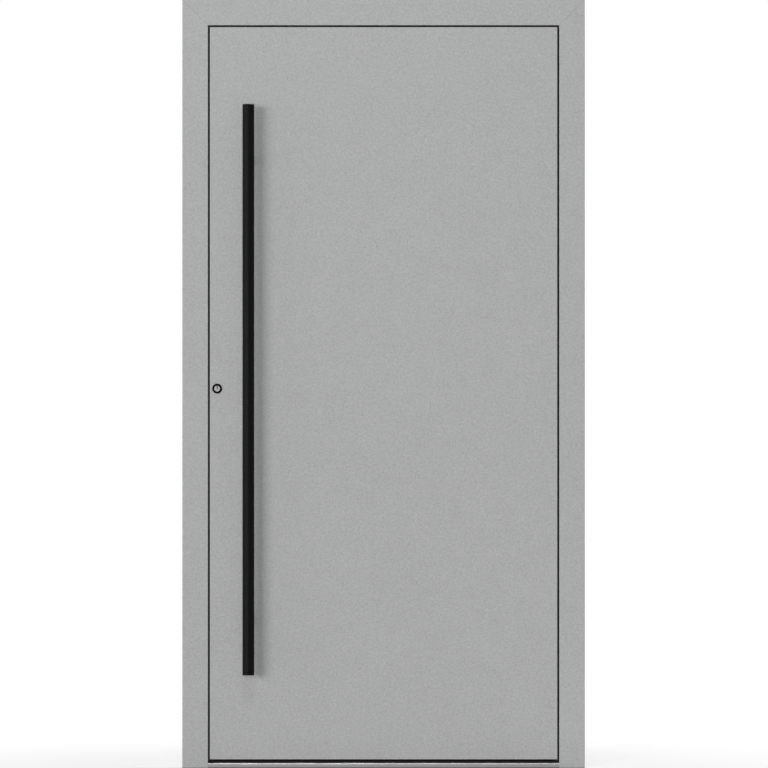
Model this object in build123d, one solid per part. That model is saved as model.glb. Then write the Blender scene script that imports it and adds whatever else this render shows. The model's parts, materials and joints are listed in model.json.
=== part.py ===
from build123d import *
import os

# Aluminium front door in its frame: thermally broken extrusions, a flush two-sided leaf covering,
# a long round pull bar outside and a lever inside. Millimetres, +Z up, exterior towards -Y.
# The origin is on the threshold's underside, at the middle of the width and of the depth.
# A section is drawn as (distance from the door's outer edge, depth from its exterior face).

# Overall sizes
door_width = 1100.0
door_height = 2100.0
frame_depth = 75.0

# Frame extrusions
frame_face = 70.0
lip_step = 2.0
lip_depth = 3.0
frame_outer_depth = 22.0
frame_inner_face = 48.0
frame_inner_depth = 26.0
frame_wall = 2.0
web_thickness = 1.6
cleat_rib_length = 14.0
cleat_rib_from_face = 5.0
edge_radius = 0.8

# Isolator bars rolled into dovetail grooves
bar_thickness = 2.0
groove_mouth = 3.0
groove_root = 5.0
groove_depth = 2.6
groove_wall = 1.6
bar_clearance = 0.1
frame_bar_inset = 10.0
frame_bar_setback = 8.0

# Leaf
face_gap = 5.3
inner_face_gap = 6.0
rebate_air = 12.0
sheet_thickness = 3.0
leaf_edge_step = 1.7
leaf_profile_end = 150.0
leaf_outer_depth = 19.0
leaf_inner_depth = 25.0
leaf_wall = 2.0
leaf_bar_inset = 6.0
leaf_bottom = 24.0
rail_lift = 2.0
rail_height = 73.0
euro_groove_depth = 3.0
euro_groove_width = 20.0
stop_depth = 30.0
stop_wall = 1.5
fit_clearance = 0.3

# Threshold
threshold_height = 14.2
threshold_recess = 1.0
threshold_nose_drop = 0.8
threshold_bevel_height = 3.4
threshold_bevel_depth = 1.6
threshold_base_height = 2.6
threshold_base_setback = 3.0
threshold_wall = 2.0
threshold_break_drop = 1.0
threshold_stop_rise = 3.3
tread_groove_width = 1.6
tread_groove_depth = 0.6
tread_groove_pitch = 4.0
tread_grooves = 5

# Rubber seals
gasket_from_lip = 9.0
gasket_width = 9.0
gasket_clearance = 0.5
gasket_wall = 1.4
seal_lip = 3.0
seal_clearance = 1.5
seal_stop_clearance = 1.0

# Hinges
hinge_from_end = 260.0
hinge_axis_in_gap = 3.0
hinge_axis_out = 12.0
barrel_radius = 11.0
pin_radius = 6.0
running_clearance = 0.05
knuckle_height = 50.0
knuckle_gap = 1.0
hinge_plate_thickness = 4.0
hinge_plate_width = 44.0
hinge_plate_corner = 5.0
arm_start = 2.0
arm_spread = 9.0
pin_cap_height = 4.0
pin_cap_chamfer = 1.2

# Lock
backset = 35.0
cylinder_height = 1037.0
lever_above_cylinder = 92.0
lock_case_thickness = 16.0
lock_case_length = 52.0
lock_case_below = 75.0
lock_case_above = 165.0
faceplate_from_end = 300.0
faceplate_thickness = 3.0
bolt_thickness = 11.0
bolt_height = 36.0
bolt_below_cylinder = 38.0
latch_thickness = 11.0
latch_height = 22.0
latch_above_cylinder = 60.0
latch_bevel = 7.0
hook_from_faceplate_end = 160.0
hook_thickness = 8.0
hook_height = 44.0
bolt_reach = 22.0
bolt_edge_radius = 0.8
bolt_clearance = 0.3
strike_width = 20.0
strike_thickness = 2.5
strike_corner = 3.0
strike_margin = 24.0
strike_play = 2.5

# Lock cylinder
housing_radius = 11.0
plug_radius = 8.2
plug_length = 32.0
plug_chamfer = 0.4
ring_radius = 13.35
ring_height = 4.0
ring_chamfer = 1.0
plug_recess = 1.0
keyway_width = 2.6
keyway_height = 9.5
keyway_depth = 24.0

# Pull bar outside
bar_radius = 16.0
bar_wall = 2.0
bar_length = 1556.0
bar_from_edge = 181.5
bar_centre_height = 1034.0
bar_hand_room = 40.0
cap_height = 10.0
cap_edge_radius = 1.8
cap_spigot = 14.0
cap_joint_chamfer = 0.3
standoff_radius = 10.0
standoff_from_end = 150.0
standoff_rose_radius = 13.0
standoff_rose_height = 3.0

# Lever inside
rose_radius = 26.0
rose_height = 8.0
rose_chamfer = 1.2
lever_radius = 9.5
lever_reach = 46.0
lever_length = 128.0
lever_bend = 16.0
lever_end_radius = 2.5
spindle_width = 9.0
spindle_play = 0.3

# Wall fixing
anchor_hole_radius = 4.0
anchor_from_end = 150.0
anchor_count = 4

# Places worked out from the sizes above
left = -door_width / 2
front = -frame_depth / 2
back = frame_depth / 2
frame_back_edge = frame_face - lip_step
frame_inner_front = frame_depth - frame_inner_depth
frame_bar_inner = frame_inner_face - frame_bar_setback
gasket_place = frame_face - gasket_from_lip
leaf_face_edge = frame_face + face_gap
leaf_outer_edge = leaf_face_edge + leaf_edge_step
leaf_inner_edge = frame_inner_face + rebate_air
leaf_inner_panel_edge = frame_inner_face + inner_face_gap
leaf_outer_rear = sheet_thickness + leaf_outer_depth
leaf_inner_rear = frame_depth - sheet_thickness
leaf_inner_front = leaf_inner_rear - leaf_inner_depth
leaf_bar_outer = leaf_outer_edge + leaf_bar_inset
leaf_bar_inner = leaf_profile_end - leaf_bar_inset
leaf_profile_width = door_width - 2 * leaf_profile_end
rail_bottom = leaf_bottom + rail_lift
euro_groove_middle = leaf_inner_rear - leaf_inner_depth / 2
lock_y = front + euro_groove_middle
seal_bottom = threshold_height + seal_clearance
threshold_stop_rear = frame_outer_depth + threshold_wall
strike_face_x = left + frame_inner_face
faceplate_x = left + leaf_inner_edge
faceplate_bottom = faceplate_from_end
faceplate_top = door_height - faceplate_from_end
cylinder_x = faceplate_x + backset
lever_height = cylinder_height + lever_above_cylinder
bar_x = left + bar_from_edge
hinge_x = -left - frame_inner_face - hinge_axis_in_gap
hinge_y = back + hinge_axis_out
hinge_heights = (hinge_from_end, door_height / 2, door_height - hinge_from_end)

# How far a cutting tool runs past what it cuts
past = 1.0
far_past = 400.0


def area(near_edge, far_edge, near_depth, far_depth):
    """Rectangle of a section."""
    centre = Pos((near_edge + far_edge) / 2, (near_depth + far_depth) / 2)
    return centre * Rectangle(far_edge - near_edge, far_depth - near_depth)


def dovetail(centre, depth, towards, clearance=0.0):
    """Dovetail pocket, or with a clearance its foot, widening from its mouth to its root."""
    mouth = groove_mouth / 2 - clearance
    root = groove_root / 2 - clearance
    end = depth + towards * (groove_depth - clearance)
    outline = Polyline(
        (centre - mouth, depth),
        (centre + mouth, depth),
        (centre + root, end),
        (centre - root, end),
        close=True,
    )
    return make_face(outline)


def hollow(outline, chambers, grooves, face_depth, towards):
    """Section with chambers, and a wall round each dovetail groove in one of its faces."""
    section = outline
    for chamber in chambers:
        section -= chamber
    for centre in grooves:
        half = groove_root / 2 + groove_wall
        end = face_depth + towards * (groove_depth + groove_wall)
        section += area(centre - half, centre + half, min(face_depth, end), max(face_depth, end))
    for centre in grooves:
        section -= dovetail(centre, face_depth, towards)
    return section


def chambers_between(low_edge, high_edge, low_depth, high_depth, wall, web_edges):
    """Chambers inside walls of one thickness, parted by webs."""
    starts = [low_edge + wall] + [edge + web_thickness / 2 for edge in web_edges]
    ends = [edge - web_thickness / 2 for edge in web_edges] + [high_edge - wall]
    return [area(start, end, low_depth + wall, high_depth - wall) for start, end in zip(starts, ends)]


def isolator(centre, near_depth, far_depth):
    """Straight isolator bar with a dovetail foot in the groove of each shell."""
    section = area(centre - bar_thickness / 2, centre + bar_thickness / 2, near_depth, far_depth)
    section += dovetail(centre, near_depth, -1, bar_clearance)
    section += dovetail(centre, far_depth, 1, bar_clearance)
    return section


def member(section, plane, length, mitre_start=False, mitre_end=False):
    """Extruded member laid along a plane's normal, its ends square or mitred at the outer edge."""
    solid = extrude(section, amount=length, dir=(0, 0, 1))
    corners = []
    if mitre_start:
        corners.append(((-past, -past), (far_past, far_past), (far_past, -past)))
    if mitre_end:
        end = length + past
        corners.append(((-past, end), (far_past, length - far_past), (far_past, end)))
    for corner in corners:
        waste = Plane.XZ * make_face(Polyline(*corner, close=True))
        solid -= extrude(waste, amount=far_past, both=True)
    return plane * solid


def upright(section, bottom):
    """Member on the lock side, from a height up to its mitre at the head."""
    plane = Plane(origin=(left, front, bottom), x_dir=(1, 0, 0), z_dir=(0, 0, 1))
    return member(section, plane, door_height - bottom, mitre_end=True)


def crosswise(section):
    """Member along the top, mitred at both ends."""
    plane = Plane(origin=(left, front, door_height), x_dir=(0, 0, -1), z_dir=(1, 0, 0))
    return member(section, plane, door_width, mitre_start=True, mitre_end=True)


def floorwise(section, half_length, bottom):
    """Square-ended member along the bottom, its section's first coordinate pointing up."""
    plane = Plane(origin=(half_length, front, bottom), x_dir=(0, 0, 1), z_dir=(-1, 0, 0))
    return member(section, plane, 2 * half_length)


def opposite(solid):
    """The same piece on the hinge side."""
    return mirror(solid, about=Plane.YZ)


def around(section, bottom, holes=None):
    """Member up one side, across the top and down the other, joined at its mitres."""
    side = upright(section, bottom)
    drilled = side - holes if holes else side
    return drilled + crosswise(section) + opposite(side)


def block(low, high):
    """Box between two corners."""
    size = [high[i] - low[i] for i in range(3)]
    centre = [(high[i] + low[i]) / 2 for i in range(3)]
    return Pos(*centre) * Box(*size)


def rod_x(y, z, near_x, far_x, radius):
    """Round bar across the width."""
    return Pos((near_x + far_x) / 2, y, z) * Rot(0, 90, 0) * Cylinder(radius, far_x - near_x)


def rod_y(x, z, near_y, far_y, radius):
    """Round bar along the depth."""
    return Pos(x, (near_y + far_y) / 2, z) * Rot(90, 0, 0) * Cylinder(radius, far_y - near_y)


def rod_z(x, y, low, high, radius):
    """Upright round bar."""
    return Pos(x, y, (low + high) / 2) * Cylinder(radius, high - low)


# Frame
def frame_outer_section():
    """Exterior half of the frame, with the lip that the leaf's face closes beside."""
    outline = area(0, frame_back_edge, 0, frame_outer_depth)
    outline += area(frame_back_edge - past, frame_face, 0, lip_depth)
    outline = fillet(outline.vertices().group_by(Axis.Y)[0], edge_radius)
    middle_web = (frame_bar_inset + frame_bar_inner) / 2
    webs = (middle_web, frame_bar_inner + gasket_from_lip)
    chambers = chambers_between(0, frame_back_edge, 0, frame_outer_depth, frame_wall, webs)
    grooves = (frame_bar_inset, frame_bar_inner, gasket_place)
    return hollow(outline, chambers, grooves, frame_outer_depth, -1)


def frame_inner_section():
    """Room-side half of the frame, with two ribs that guide its corner cleats."""
    outline = area(0, frame_inner_face, frame_inner_front, frame_depth)
    outline = fillet(outline.vertices().group_by(Axis.Y)[-1], edge_radius)
    chambers = chambers_between(0, frame_inner_face, frame_inner_front, frame_depth, frame_wall, ())
    grooves = (frame_bar_inset, frame_bar_inner)
    section = hollow(outline, chambers, grooves, frame_inner_front, 1)
    rib_rear = frame_depth - cleat_rib_from_face
    rib_front = rib_rear - web_thickness
    section += area(frame_wall, frame_wall + cleat_rib_length, rib_front, rib_rear)
    inner_wall = frame_inner_face - frame_wall
    return section + area(inner_wall - cleat_rib_length, inner_wall, rib_front, rib_rear)


def anchor_holes():
    """Screw holes through both side walls of the lock jamb's room-side chamber."""
    anchor_y = back - frame_inner_depth / 2
    pitch = (door_height - 2 * anchor_from_end) / (anchor_count - 1)
    heights = [anchor_from_end + number * pitch for number in range(anchor_count)]
    near_x = left - past
    far_x = strike_face_x + past
    return [rod_x(anchor_y, height, near_x, far_x, anchor_hole_radius) for height in heights]


def make_frame():
    outer = frame_outer_section()
    inner = frame_inner_section()
    jamb = upright(inner, 0)
    for hole in anchor_holes():
        jamb -= hole
    strips = [
        around(isolator(centre, frame_outer_depth, frame_inner_front), 0)
        for centre in (frame_bar_inset, frame_bar_inner)
    ]
    return {
        "lock_jamb_outer_shell": upright(outer, 0),
        "lock_jamb_inner_shell": cut_keeps(jamb),
        "hinge_jamb_outer_shell": opposite(upright(outer, 0)),
        "hinge_jamb_inner_shell": opposite(jamb),
        "head_outer_shell": crosswise(outer),
        "head_inner_shell": crosswise(inner),
        "frame_thermal_break": Compound(children=strips),
    }


def make_frame_gasket():
    """Hollow rubber stop seal, its foot in the groove behind the frame's lip."""
    near = frame_outer_depth
    end = stop_depth - gasket_clearance
    low_edge = gasket_place - gasket_width / 2
    high_edge = gasket_place + gasket_width / 2
    bulb = area(low_edge, high_edge, near, end)
    bulb = fillet(bulb.vertices().group_by(Axis.Y)[-1], gasket_width / 3)
    bulb -= area(low_edge + gasket_wall, high_edge - gasket_wall, near + gasket_wall, end - gasket_wall)
    section = bulb + dovetail(gasket_place, near, -1, bar_clearance)
    return around(section, threshold_height)


# Threshold, its sections drawn as (height, depth)
def threshold_nose_section():
    """Exterior half, with a bevelled nose and a top that slopes outwards."""
    face = threshold_recess
    nose = threshold_height - threshold_nose_drop
    outline = Polyline(
        (threshold_base_height, frame_outer_depth),
        (threshold_base_height, face),
        (nose - threshold_bevel_height, face),
        (nose, face + threshold_bevel_depth),
        (threshold_height, frame_outer_depth),
        close=True,
    )
    return make_face(outline) - area(
        threshold_base_height + threshold_wall,
        nose - threshold_wall,
        face + threshold_bevel_depth + threshold_wall,
        frame_outer_depth - threshold_wall,
    )


def threshold_box_section(height, near_depth, far_depth):
    section = area(0, height, near_depth, far_depth)
    return section - area(
        threshold_wall,
        height - threshold_wall,
        near_depth + threshold_wall,
        far_depth - threshold_wall,
    )


def tread_section():
    """Room-side half, with fine grooves along the tread."""
    section = threshold_box_section(threshold_height, frame_inner_front, frame_depth)
    middle = (frame_inner_front + frame_depth) / 2
    for number in range(tread_grooves):
        groove = middle + (number - (tread_grooves - 1) / 2) * tread_groove_pitch
        section -= area(
            threshold_height - tread_groove_depth,
            threshold_height + past,
            groove - tread_groove_width / 2,
            groove + tread_groove_width / 2,
        )
    return section


def make_threshold():
    """Two extrusions with a thermal break, which has a base under the outer one and a stop for the leaf."""
    middle = threshold_box_section(
        threshold_height - threshold_break_drop, frame_outer_depth, frame_inner_front
    )
    base_front = threshold_recess + threshold_base_setback
    base = area(0, threshold_base_height, base_front, threshold_stop_rear)
    stop_top = threshold_height + threshold_stop_rise
    stop = area(threshold_base_height, stop_top, frame_outer_depth, threshold_stop_rear)
    break_gap = frame_bar_inner + bar_thickness / 2 + fit_clearance
    stop_gap = gasket_place + gasket_width / 2 + fit_clearance
    outer_half = door_width / 2 - frame_face
    thermal_break = floorwise(middle, door_width / 2 - break_gap, 0) + floorwise(base, outer_half, 0)
    thermal_break += floorwise(stop, door_width / 2 - stop_gap, 0)
    return {
        "threshold_outer_profile": floorwise(threshold_nose_section(), outer_half, 0),
        "threshold_thermal_break": thermal_break,
        "threshold_inner_profile": floorwise(tread_section(), door_width / 2 - frame_inner_face, 0),
    }


# Leaf
def leaf_outer_section(near_edge, far_edge):
    """Exterior half of a stile or rail."""
    outline = area(near_edge, far_edge, sheet_thickness, leaf_outer_rear)
    middle_web = (near_edge + far_edge) / 2
    chambers = chambers_between(
        near_edge, far_edge, sheet_thickness, leaf_outer_rear, leaf_wall, (middle_web,)
    )
    grooves = (near_edge + leaf_bar_inset, far_edge - leaf_bar_inset)
    return hollow(outline, chambers, grooves, leaf_outer_rear, -1)


def leaf_inner_section(near_edge, far_edge, grooves, recess):
    """Room-side half of a stile or rail, with the recess for the lock's faceplate in its edge."""
    outline = area(near_edge, far_edge, leaf_inner_front, leaf_inner_rear)
    chambers = chambers_between(
        near_edge + recess, far_edge, leaf_inner_front, leaf_inner_rear, leaf_wall, ()
    )
    section = hollow(outline, chambers, grooves, leaf_inner_front, 1)
    if recess:
        half = euro_groove_width / 2
        section -= area(near_edge, near_edge + recess, euro_groove_middle - half, euro_groove_middle + half)
    return section


def stop_section():
    """Isolator bar with the hollow shoulder that closes on the frame's seal."""
    shoulder_edge = leaf_inner_edge + fit_clearance
    shoulder_rear = leaf_inner_front - fit_clearance
    web_edge = leaf_bar_outer + bar_thickness / 2
    section = isolator(leaf_bar_outer, leaf_outer_rear, leaf_inner_front)
    section += area(shoulder_edge, web_edge, stop_depth, shoulder_rear)
    return section - area(
        shoulder_edge + stop_wall,
        web_edge - bar_thickness,
        stop_depth + stop_wall,
        shoulder_rear - stop_wall,
    )


def make_leaf_frame():
    outer = leaf_outer_section(leaf_outer_edge, leaf_profile_end)
    grooves = (leaf_bar_outer, leaf_bar_inner)
    inner = leaf_inner_section(leaf_inner_edge, leaf_profile_end, grooves, euro_groove_depth)
    rail_grooves = (leaf_bar_inset, rail_height - leaf_bar_inset)
    rail_outer = leaf_outer_section(0, rail_height)
    rail_inner = leaf_inner_section(0, rail_height, rail_grooves, 0)
    rail_half = leaf_profile_width / 2
    outer_stile = upright(outer, rail_bottom)
    inner_stile = upright(inner, rail_bottom)
    below_stiles = block(
        (left, front, seal_bottom - past), (-left, front + stop_depth, rail_bottom)
    )
    strips = [
        around(stop_section(), seal_bottom, cylinder_hole()) - below_stiles,
        around(isolator(leaf_bar_inner, leaf_outer_rear, leaf_inner_front), rail_bottom),
    ]
    for centre in rail_grooves:
        strip = isolator(centre, leaf_outer_rear, leaf_inner_front)
        strips.append(floorwise(strip, rail_half - 2 * leaf_bar_inset, rail_bottom))
    return {
        "lock_stile_outer_shell": outer_stile - cylinder_hole(),
        "lock_stile_inner_shell": inner_stile - cylinder_hole() - spindle_hole() - lock_pocket(),
        "hinge_stile_outer_shell": opposite(outer_stile),
        "hinge_stile_inner_shell": opposite(inner_stile),
        "top_rail_outer_shell": crosswise(outer),
        "top_rail_inner_shell": crosswise(inner),
        "bottom_rail_outer_shell": floorwise(rail_outer, rail_half, rail_bottom),
        "bottom_rail_inner_shell": floorwise(rail_inner, rail_half, rail_bottom),
        "leaf_thermal_break": Compound(children=strips),
    }


def face_sheet(edge, outer_y, inner_y):
    """Sheet over one face of the leaf, its outer corners eased."""
    half = door_width / 2 - edge
    low_y = min(outer_y, inner_y)
    high_y = max(outer_y, inner_y)
    sheet = block((-half, low_y, leaf_bottom), (half, high_y, door_height - edge))
    rim = sheet.faces().sort_by(Axis.Y)[0 if outer_y < inner_y else -1].edges()
    return fillet(rim, edge_radius)


def make_panels():
    """Face sheets that cover the leaf's extrusions, and the foam between them."""
    core_half = door_width / 2 - leaf_profile_end - fit_clearance
    core = block(
        (-core_half, front + sheet_thickness, rail_bottom + rail_height + fit_clearance),
        (core_half, back - sheet_thickness, door_height - leaf_profile_end - fit_clearance),
    )
    outer = face_sheet(leaf_face_edge, front, front + sheet_thickness)
    inner = face_sheet(leaf_inner_panel_edge, back, back - sheet_thickness)
    return {
        "leaf_outer_panel": outer - cylinder_hole(),
        "leaf_inner_panel": inner - cylinder_hole() - spindle_hole(),
        "leaf_core": core,
    }


def make_bottom_seal():
    """Rubber seal between the bottom rail's shells, with a lip behind the threshold's stop and one inside."""
    low_depth = leaf_outer_rear + fit_clearance
    high_depth = leaf_inner_front - fit_clearance
    foot_top = leaf_bar_inset - bar_thickness / 2 - bar_clearance
    foot = area(0, foot_top, low_depth, high_depth)
    front_lip = threshold_stop_rear + seal_stop_clearance
    lips = area(seal_bottom - rail_bottom, 0, front_lip, front_lip + seal_lip)
    lips += area(seal_bottom - rail_bottom, 0, high_depth - seal_lip, high_depth)
    lip_end = leaf_bar_outer + bar_thickness / 2 + fit_clearance
    seal = floorwise(foot, leaf_profile_width / 2 - fit_clearance, rail_bottom)
    return seal + floorwise(lips, door_width / 2 - lip_end, rail_bottom)


# Lock
def bolts():
    """Node, middle height, half thickness and half height of each bolt in the leaf's edge."""
    low_hook = faceplate_bottom + hook_from_faceplate_end
    high_hook = faceplate_top - hook_from_faceplate_end
    latch = cylinder_height + latch_above_cylinder
    dead = cylinder_height - bolt_below_cylinder
    return (
        ("latch_bolt", latch, latch_thickness / 2, latch_height / 2),
        ("dead_bolt", dead, bolt_thickness / 2, bolt_height / 2),
        ("hook_bolts", low_hook, hook_thickness / 2, hook_height / 2),
        ("hook_bolts", high_hook, hook_thickness / 2, hook_height / 2),
    )


def bolt_block(row, play, near_x, far_x):
    """The space of one bolt between two places across the width."""
    name, height, half_thickness, half_height = row
    across = half_thickness + play
    up = half_height + play
    return block((near_x, lock_y - across, height - up), (far_x, lock_y + across, height + up))


def cylinder_hole():
    """Round hole for the lock cylinder, through the whole leaf."""
    radius = housing_radius + fit_clearance
    return rod_y(cylinder_x, cylinder_height, front - past, back + past, radius)


def spindle_hole():
    """Round hole for the lever's spindle, from the lock case to the room."""
    radius = spindle_width / 2 ** 0.5 + spindle_play
    return rod_y(cylinder_x, lever_height, lock_y, back + past, radius)


def spindle(play, near_y, far_y):
    half = spindle_width / 2 + play
    return block(
        (cylinder_x - half, near_y, lever_height - half), (cylinder_x + half, far_y, lever_height + half)
    )


def lock_case_block(play):
    inner_x = faceplate_x + euro_groove_depth
    half = lock_case_thickness / 2 + play
    return block(
        (inner_x, lock_y - half, cylinder_height - lock_case_below - play),
        (inner_x + lock_case_length + play, lock_y + half, cylinder_height + lock_case_above + play),
    )


def lock_pocket():
    """Cut-outs in the stile's edge for the lock case and the hook bolts."""
    wall_x = faceplate_x + euro_groove_depth
    pocket = lock_case_block(fit_clearance)
    for row in bolts():
        pocket += bolt_block(row, fit_clearance, wall_x, wall_x + leaf_wall + past)
    return pocket


def make_bolt(row):
    """A bolt withdrawn until its nose is flush with the faceplate, the latch with its slanted nose."""
    solid = bolt_block(row, 0, faceplate_x, faceplate_x + bolt_reach)
    nose = solid.faces().sort_by(Axis.X)[0].edges()
    if row[0] == "latch_bolt":
        return chamfer(nose.filter_by(Axis.Z).sort_by(Axis.Y)[0], latch_bevel)
    return fillet(nose, bolt_edge_radius)


def make_lock():
    half_width = euro_groove_width / 2 - bar_clearance
    faceplate = block(
        (faceplate_x, lock_y - half_width, faceplate_bottom),
        (faceplate_x + faceplate_thickness, lock_y + half_width, faceplate_top),
    )
    faceplate = fillet(faceplate.edges().filter_by(Axis.X), half_width - bar_clearance)
    case = lock_case_block(0)
    case -= rod_y(cylinder_x, cylinder_height, front, back, housing_radius + fit_clearance)
    case -= spindle(spindle_play, front, back)
    nodes = {}
    for row in bolts():
        hole = bolt_block(row, bolt_clearance, faceplate_x - past, faceplate_x + bolt_reach + bolt_clearance)
        faceplate -= hole
        case -= hole
        nodes.setdefault(row[0], []).append(make_bolt(row))
    parts = {"lock_faceplate": faceplate, "lock_case": case}
    for name, solids in nodes.items():
        parts[name] = solids[0] if len(solids) == 1 else Compound(children=solids)
    return parts


def cut_keeps(jamb):
    """Openings in the lock jamb's rebate wall behind the strike plates."""
    for row in bolts():
        jamb -= bolt_block(row, strike_play, strike_face_x - frame_wall - past, strike_face_x + past)
    return jamb


def make_strikes():
    """One strike plate for latch and dead bolt, and one for each hook."""
    latch, dead, low_hook, high_hook = bolts()
    plates = []
    for group in ((latch, dead), (low_hook,), (high_hook,)):
        low = min(row[1] - row[3] for row in group) - strike_margin
        high = max(row[1] + row[3] for row in group) + strike_margin
        end_x = strike_face_x + strike_thickness
        plate = block(
            (strike_face_x, lock_y - strike_width / 2, low), (end_x, lock_y + strike_width / 2, high)
        )
        plate = fillet(plate.edges().filter_by(Axis.X), strike_corner)
        for row in group:
            plate -= bolt_block(row, strike_play, strike_face_x - past, end_x + past)
        plates.append(plate)
    return Compound(children=plates)


def make_cylinder():
    """Round lock cylinder through the leaf, with a plug and a cover ring on each side."""
    bore = plug_radius + running_clearance
    housing = rod_y(cylinder_x, cylinder_height, front, back, housing_radius)
    housing -= rod_y(cylinder_x, cylinder_height, front - past, front + plug_length, bore)
    housing -= rod_y(cylinder_x, cylinder_height, back - plug_length, back + past, bore)
    ring_front = front - ring_height
    ring = rod_y(cylinder_x, cylinder_height, ring_front, front, ring_radius)
    ring = chamfer(ring.edges().group_by(Axis.Y)[0], ring_chamfer)
    ring -= rod_y(cylinder_x, cylinder_height, ring_front - past, front + past, plug_radius + fit_clearance)
    plug_front = ring_front + plug_recess
    plug = rod_y(cylinder_x, cylinder_height, plug_front, front + plug_length - fit_clearance, plug_radius)
    plug = chamfer(plug.edges().group_by(Axis.Y)[0], plug_chamfer)
    plug_top = cylinder_height + plug_radius
    half_slot = keyway_width / 2
    plug -= block(
        (cylinder_x - half_slot, plug_front - past, plug_top - keyway_height),
        (cylinder_x + half_slot, plug_front + keyway_depth, plug_top + past),
    )
    return {
        "cylinder_housing": housing,
        "cylinder_ring": ring,
        "cylinder_plug": plug,
        "cylinder_inner_ring": mirror(ring, about=Plane.XZ),
        "cylinder_inner_plug": mirror(plug, about=Plane.XZ),
    }


# Pull bar
def make_end_cap(end, inwards, centre_y):
    """Turned cap that closes the tube, with a spigot inside it."""
    shoulder = end + inwards * cap_height
    spigot_end = shoulder + inwards * cap_spigot
    cap = rod_z(bar_x, centre_y, min(end, shoulder), max(end, shoulder), bar_radius)
    outer_rim, joint_rim = (0, -1) if inwards > 0 else (-1, 0)
    cap = chamfer(cap.edges().group_by(Axis.Z)[joint_rim], cap_joint_chamfer)
    cap = fillet(cap.edges().group_by(Axis.Z)[outer_rim], cap_edge_radius)
    spigot_radius = bar_radius - bar_wall - bar_clearance
    return cap + rod_z(
        bar_x, centre_y, min(shoulder, spigot_end), max(shoulder, spigot_end), spigot_radius
    )


def make_standoff(height, centre_y):
    """Straight support, cut to the bar's curve at one end and with a rose at the other."""
    post = rod_y(bar_x, height, centre_y, front, standoff_radius)
    post += rod_y(bar_x, height, front - standoff_rose_height, front, standoff_rose_radius)
    seat = rod_z(bar_x, centre_y, height - far_past, height + far_past, bar_radius + bar_clearance)
    return post - seat


def make_pull_bar():
    centre_y = front - bar_hand_room - bar_radius
    low = bar_centre_height - bar_length / 2
    high = bar_centre_height + bar_length / 2
    tube = rod_z(bar_x, centre_y, low + cap_height, high - cap_height, bar_radius)
    tube = chamfer(tube.edges().filter_by(GeomType.CIRCLE), cap_joint_chamfer)
    tube -= rod_z(bar_x, centre_y, low, high, bar_radius - bar_wall)
    caps = [make_end_cap(low, 1, centre_y), make_end_cap(high, -1, centre_y)]
    heights = (low + standoff_from_end, high - standoff_from_end)
    return {
        "pull_bar": tube,
        "pull_bar_end_caps": Compound(children=caps),
        "pull_bar_standoffs": Compound(children=[make_standoff(height, centre_y) for height in heights]),
    }


# Lever
def make_lever():
    """Round lever on its rose, with the square spindle that runs into the lock case."""
    rose = rod_y(cylinder_x, lever_height, back, back + rose_height, rose_radius)
    rose = chamfer(rose.edges().group_by(Axis.Y)[-1], rose_chamfer)
    neck_radius = lever_radius + fit_clearance
    rose -= rod_y(cylinder_x, lever_height, back - past, back + rose_height + past, neck_radius)
    arm_y = back + lever_reach
    path = FilletPolyline(
        (cylinder_x, back, lever_height),
        (cylinder_x, arm_y, lever_height),
        (cylinder_x + lever_length, arm_y, lever_height),
        radius=lever_bend,
    )
    section = Plane(origin=(cylinder_x, back, lever_height), z_dir=(0, 1, 0)) * Circle(lever_radius)
    lever = sweep(section, path)
    lever = fillet(lever.edges().sort_by(Axis.X)[-1], lever_end_radius)
    lever += spindle(0, lock_y - lock_case_thickness / 2, back + past)
    return {"lever_rose": rose, "lever_handle": lever}


# Hinges
def knuckle(towards, low, high):
    """Barrel with the tapered arm that runs down to its plate on one side of the axis."""
    start = hinge_x + towards * arm_start
    end = hinge_x + towards * (barrel_radius + arm_spread)
    barrel = Pos(hinge_x, hinge_y) * Circle(barrel_radius)
    foot = area(min(start, end), max(start, end), back, back + hinge_plate_thickness)
    profile = make_hull(barrel.edges() + foot.edges())
    return Pos(0, 0, low) * extrude(profile, amount=high - low, dir=(0, 0, 1))


def hinge_plate(towards, low, high):
    """Flat plate beside the barrel, its far corners rounded."""
    near_x = hinge_x + towards * (barrel_radius + knuckle_gap)
    far_x = hinge_x + towards * hinge_plate_width
    plate = block((min(near_x, far_x), back, low), (max(near_x, far_x), back + hinge_plate_thickness, high))
    corners = plate.edges().filter_by(Axis.Y).sort_by(Axis.X)
    return fillet(corners[2:] if towards > 0 else corners[:2], hinge_plate_corner)


def make_hinges():
    """Three barrel hinges on the room side, each with two knuckles on the frame and one on the leaf."""
    frame_plates = []
    leaf_plates = []
    pins = []
    half = 1.5 * knuckle_height + knuckle_gap
    for height in hinge_heights:
        low = height - half
        high = height + half
        middle_low = height - knuckle_height / 2
        middle_high = height + knuckle_height / 2
        bore = rod_z(hinge_x, hinge_y, low - past, high + past, pin_radius + running_clearance)
        frame_plate = hinge_plate(1, low, high)
        frame_plate += knuckle(1, low, middle_low - knuckle_gap)
        frame_plate += knuckle(1, middle_high + knuckle_gap, high)
        leaf_plate = hinge_plate(-1, middle_low, middle_high) + knuckle(-1, middle_low, middle_high)
        pin = rod_z(hinge_x, hinge_y, low, high, pin_radius)
        top_cap = rod_z(hinge_x, hinge_y, high, high + pin_cap_height, barrel_radius)
        bottom_cap = rod_z(hinge_x, hinge_y, low - pin_cap_height, low, barrel_radius)
        pin += chamfer(top_cap.edges().group_by(Axis.Z)[-1], pin_cap_chamfer)
        pin += chamfer(bottom_cap.edges().group_by(Axis.Z)[0], pin_cap_chamfer)
        frame_plates.append(frame_plate - bore)
        leaf_plates.append(leaf_plate - bore)
        pins.append(pin)
    return {
        "hinge_frame_plates": Compound(children=frame_plates),
        "hinge_leaf_plates": Compound(children=leaf_plates),
        "hinge_pins": Compound(children=pins),
    }


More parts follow.
